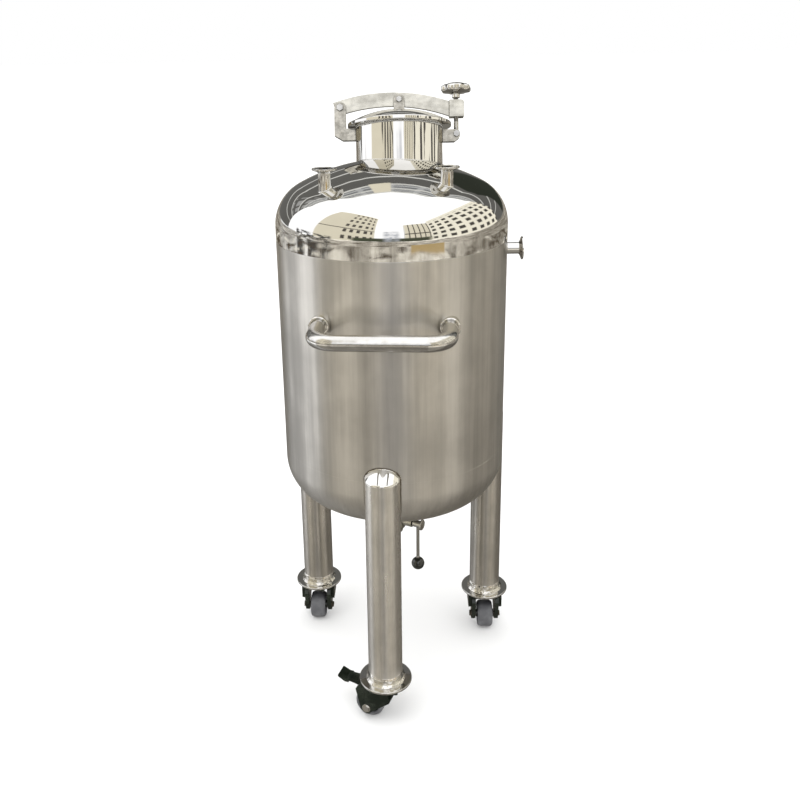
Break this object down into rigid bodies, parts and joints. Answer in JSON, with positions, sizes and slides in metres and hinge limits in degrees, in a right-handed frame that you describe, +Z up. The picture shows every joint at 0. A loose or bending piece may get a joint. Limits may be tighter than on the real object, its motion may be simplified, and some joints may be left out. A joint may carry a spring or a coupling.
{
  "type": "vertical storage tank",
  "caption": "Mobile stainless steel vertical storage tank with dished ends, a clamped handhole lid, ferrule ports, a push handle, a bottom outlet valve, tube legs and swivel casters.",
  "frame": {"origin": "on the floor under the middle of the object's box; the vessel's axis stands at x -0.0125, y 0.0530", "axes": "+Z up along the vessel, -Y towards the push handle, +X towards the side port"},
  "size_m": [0.5467, 0.6064, 1.369],
  "materials": {
    "mirror_steel": "mirror polished stainless steel",
    "satin_steel": "satin stainless steel",
    "leg_steel": "satin stainless tube",
    "cast_steel": "polished cast stainless steel",
    "bolt_steel": "bright",
    "gasket_rubber": "matt",
    "black_paint": "gloss",
    "tyre_rubber": "matt",
    "black_ball": "gloss"
  },
  "bodies": {
    "tank": {"shell_wall": "satin_steel", "top_head": "mirror_steel", "bottom_head": "satin_steel", "port_left": "mirror_steel", "port_right": "mirror_steel", "side_port": "mirror_steel", "neck": "mirror_steel", "neck_gasket": "gasket_rubber", "lid": "mirror_steel", "lid_lug": "cast_steel", "lid_pin": "bolt_steel", "clamp_arm": "cast_steel", "hinge_bracket": "cast_steel", "hinge_pin": "bolt_steel", "latch_bracket": "cast_steel", "swing_pin": "bolt_steel", "handle": "mirror_steel", "handle_rosette_left": "mirror_steel", "handle_rosette_right": "mirror_steel", "leg_front": "leg_steel", "leg_left": "leg_steel", "leg_right": "leg_steel", "foot_disc_front": "mirror_steel", "foot_disc_left": "mirror_steel", "foot_disc_right": "mirror_steel", "caster_plate_front": "black_paint", "caster_plate_left": "black_paint", "caster_plate_right": "black_paint", "outlet_nozzle": "satin_steel", "outlet_clamp": "cast_steel", "valve_body": "cast_steel"},
    "swing_bolt": {"swing_bolt": "bolt_steel"},
    "hand_knob": {"knob": "mirror_steel"},
    "caster_front": {"fork_front": "black_paint", "axle_front": "bolt_steel"},
    "caster_left": {"fork_left": "black_paint", "axle_left": "bolt_steel"},
    "caster_right": {"fork_right": "black_paint", "axle_right": "bolt_steel"},
    "front_wheel": {"wheel_front": "tyre_rubber"},
    "left_wheel": {"wheel_left": "tyre_rubber"},
    "right_wheel": {"wheel_right": "tyre_rubber"},
    "brake": {"brake_pedal": "black_paint"},
    "valve_lever": {"valve_stem": "bolt_steel", "lever_ball": "black_ball"}
  },
  "joints": [
    {"name": "bolt_swing", "type": "hinge", "parent": "tank", "child": "swing_bolt", "pos_m": [0.1345, 0.16873, 1.25214], "axis": [0, 0.9659, -0.2588], "range_deg": [0, 100]},
    {"name": "knob_turn", "type": "hinge", "parent": "swing_bolt", "child": "hand_knob", "pos_m": [0.1345, 0.16873, 1.25214], "axis": [0, 0.2588, 0.9659], "continuous": true},
    {"name": "front_swivel", "type": "hinge", "parent": "tank", "child": "caster_front", "pos_m": [-0.03798, -0.1957, 0.093], "axis": [0, 0, 1], "continuous": true},
    {"name": "left_swivel", "type": "hinge", "parent": "tank", "child": "caster_left", "pos_m": [-0.21514, 0.19942, 0.093], "axis": [0, 0, 1], "continuous": true},
    {"name": "right_swivel", "type": "hinge", "parent": "tank", "child": "caster_right", "pos_m": [0.21562, 0.15528, 0.093], "axis": [0, 0, 1], "continuous": true},
    {"name": "front_wheel_spin", "type": "hinge", "parent": "caster_front", "child": "front_wheel", "pos_m": [-0.07019, -0.18333, 0.033], "axis": [-0.3584, -0.9336, 0], "continuous": true},
    {"name": "left_wheel_spin", "type": "hinge", "parent": "caster_left", "child": "left_wheel", "pos_m": [-0.21613, 0.18044, 0.033], "axis": [0.9986, -0.0523, 0], "continuous": true},
    {"name": "right_wheel_spin", "type": "hinge", "parent": "caster_right", "child": "right_wheel", "pos_m": [0.21562, 0.13628, 0.033], "axis": [1, 0, 0], "continuous": true},
    {"name": "brake_tread", "type": "hinge", "parent": "caster_front", "child": "brake", "pos_m": [-0.08279, -0.1785, 0.078], "axis": [-0.3584, -0.9336, 0], "range_deg": [0, 15]},
    {"name": "valve_turn", "type": "hinge", "parent": "tank", "child": "valve_lever", "pos_m": [-0.0125, 0.053, 0.359], "axis": [0.8746, -0.4848, 0], "range_deg": [0, 90]}
  ]
}
